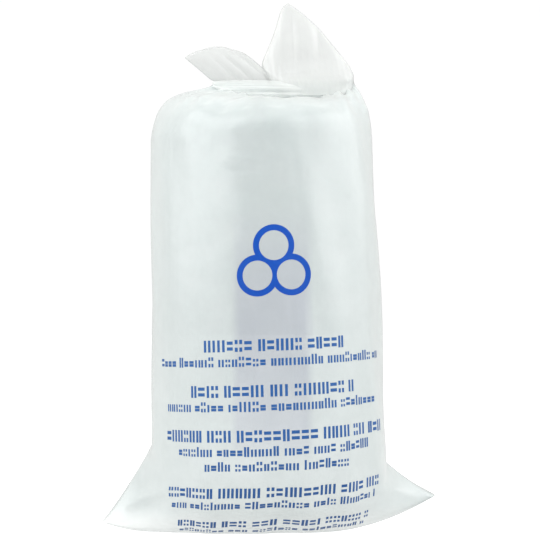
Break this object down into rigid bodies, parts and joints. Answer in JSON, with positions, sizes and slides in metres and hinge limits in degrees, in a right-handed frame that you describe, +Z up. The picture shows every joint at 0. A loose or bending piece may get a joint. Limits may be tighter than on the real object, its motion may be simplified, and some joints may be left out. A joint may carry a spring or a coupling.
{
  "type": "autoclave waste bag",
  "caption": "Translucent plastic-film lab waste bag, filled with air, standing on its welded foot, knotted at the neck, with a printed front.",
  "frame": {"origin": "middle of the base, on the floor", "axes": "+Z up, the printed front faces -Y, the welded corners point to -X and +X"},
  "size_m": [0.294, 0.195, 0.461],
  "materials": {
    "film": "gloss",
    "gathered_film": "gloss",
    "weld": "satin",
    "emblem_ink": "satin",
    "text_ink": "satin"
  },
  "bodies": {
    "bag": {"body_film": "film", "bottom_weld": "weld", "emblem_print": "emblem_ink", "print_line_01": "text_ink", "print_line_02": "text_ink", "print_line_03": "text_ink", "print_line_04": "text_ink", "print_line_05": "text_ink", "print_line_06": "text_ink", "print_line_07": "text_ink", "print_line_08": "text_ink", "print_line_09": "text_ink", "print_line_10": "text_ink", "print_line_11": "text_ink"},
    "neck": {"shoulder_film": "gathered_film", "neck_gather": "gathered_film", "knot_front_wrap": "gathered_film", "knot_back_wrap": "gathered_film"},
    "left_tail": {"left_tail": "gathered_film"},
    "right_tail": {"right_tail": "gathered_film"},
    "left_ear": {"left_ear": "film"},
    "right_ear": {"right_ear": "film"}
  },
  "joints": [
    {"name": "neck_lean", "type": "hinge", "parent": "bag", "child": "neck", "pos_m": [-0.0066, 0, 0.3386], "axis": [1, 0, 0], "range_deg": [-10, 10], "stiffness_Nm_per_rad": 0.05},
    {"name": "left_tail_fold", "type": "hinge", "parent": "neck", "child": "left_tail", "pos_m": [-0.028, 0, 0.3981], "axis": [1, 0, 0], "range_deg": [-60, 60], "stiffness_Nm_per_rad": 0.001},
    {"name": "right_tail_fold", "type": "hinge", "parent": "neck", "child": "right_tail", "pos_m": [0.033, 0, 0.3981], "axis": [1, 0, 0], "range_deg": [-60, 60], "stiffness_Nm_per_rad": 0.003},
    {"name": "left_ear_swing", "type": "hinge", "parent": "bag", "child": "left_ear", "pos_m": [-0.1202, 0, 0.025], "axis": [0, 0, 1], "range_deg": [-40, 40], "stiffness_Nm_per_rad": 0.001},
    {"name": "right_ear_swing", "type": "hinge", "parent": "bag", "child": "right_ear", "pos_m": [0.1202, 0, 0.03], "axis": [0, 0, 1], "range_deg": [-40, 40], "stiffness_Nm_per_rad": 0.001}
  ]
}
